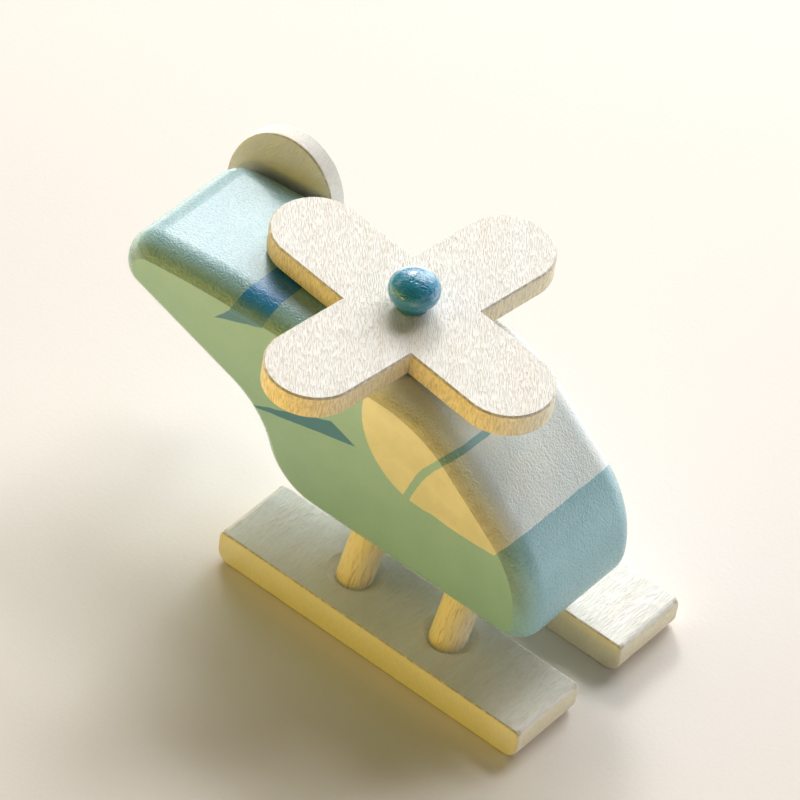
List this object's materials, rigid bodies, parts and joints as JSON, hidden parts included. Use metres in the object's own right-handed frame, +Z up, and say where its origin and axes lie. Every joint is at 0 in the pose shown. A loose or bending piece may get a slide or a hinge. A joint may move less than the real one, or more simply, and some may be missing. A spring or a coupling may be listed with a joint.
{
  "type": "toy helicopter",
  "caption": "Painted wooden toy helicopter: slab body on two skids with splayed dowel legs, a spinning cross-shaped main rotor on a ball peg and a spinning oval tail rotor.",
  "frame": {"origin": "on the floor, under the middle of the whole toy's bounding box; the skid soles lie in the plane z = 0", "axes": "+X towards the nose, +Y towards the helicopter's left side, +Z up"},
  "size_m": [0.1532, 0.0936, 0.0973],
  "materials": {
    "painted_body": "satin paint",
    "whitewashed_wood": "matt whitewash",
    "painted_knob": "gloss paint",
    "pale_skid_wood": "matt whitewash",
    "natural_dowel": "matt"
  },
  "bodies": {
    "airframe": {"fuselage": "painted_body", "rotor_peg": "painted_knob", "tail_peg": "painted_knob", "skid_left": "pale_skid_wood", "skid_right": "pale_skid_wood", "leg_front_left": "natural_dowel", "leg_front_right": "natural_dowel", "leg_rear_left": "natural_dowel", "leg_rear_right": "natural_dowel"},
    "main_rotor": {"main_rotor": "whitewashed_wood"},
    "tail_rotor": {"tail_rotor": "whitewashed_wood"}
  },
  "joints": [
    {"name": "main_rotor_spin", "type": "hinge", "parent": "airframe", "child": "main_rotor", "pos_m": [0.0022, 0, 0.0832], "axis": [0, 0, 1], "continuous": true},
    {"name": "tail_rotor_spin", "type": "hinge", "parent": "airframe", "child": "tail_rotor", "pos_m": [-0.059, 0.0259, 0.0668], "axis": [0, 1, 0], "continuous": true}
  ]
}
